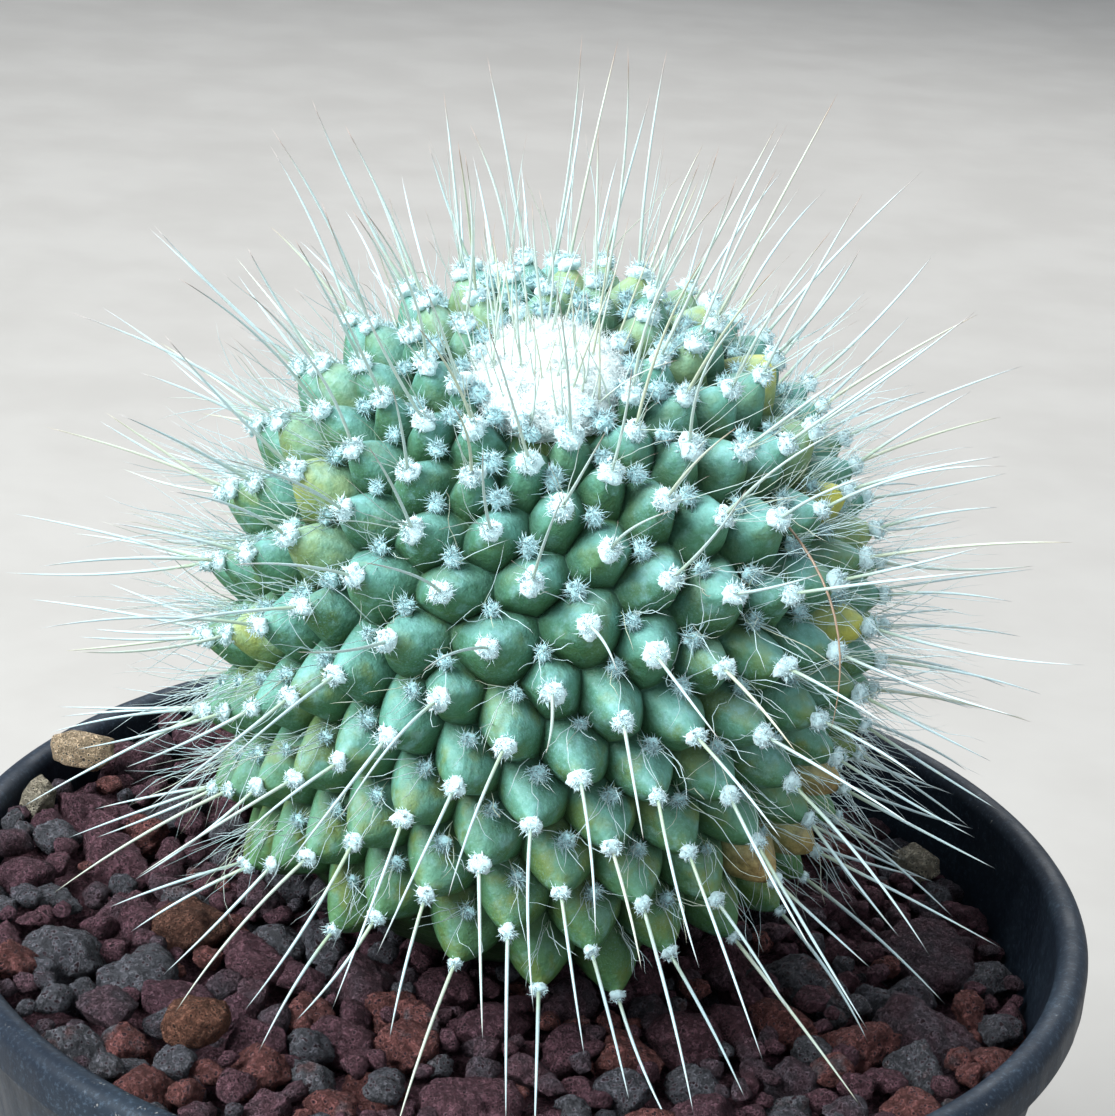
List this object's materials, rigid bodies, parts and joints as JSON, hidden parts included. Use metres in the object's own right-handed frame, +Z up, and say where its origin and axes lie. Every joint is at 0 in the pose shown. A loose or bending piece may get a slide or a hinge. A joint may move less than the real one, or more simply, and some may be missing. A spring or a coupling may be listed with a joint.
{
  "type": "potted cactus",
  "caption": "Globular spiny cactus with woolly areoles and a white crown, standing in a round black nursery pot filled with lava gravel.",
  "frame": {"origin": "centre of the pot's base, on the surface it stands on", "axes": "+Z up; -Y is the side that the picture shows, to which the crown leans"},
  "size_m": [0.11, 0.11, 0.1669],
  "materials": {
    "pot_plastic": "satin black polypropylene with a little dust",
    "lava_stone": "rough, pitted red-brown and grey lava",
    "cactus_skin": "waxy green skin with white areoles and pale spines",
    "wool": "dense white plant wool",
    "tan_stone": "rough tan pumice",
    "orange_stone": "rough orange-brown lava"
  },
  "bodies": {
    "root": {"pot": "pot_plastic", "lava_gravel": "lava_stone", "cactus": "cactus_skin", "crown_wool": "wool", "pebble_tan_long": "tan_stone", "pebble_tan_oval": "tan_stone", "pebble_tan_right": "tan_stone", "pebble_orange_left": "orange_stone", "pebble_orange_front": "orange_stone"}
  },
  "joints": []
}
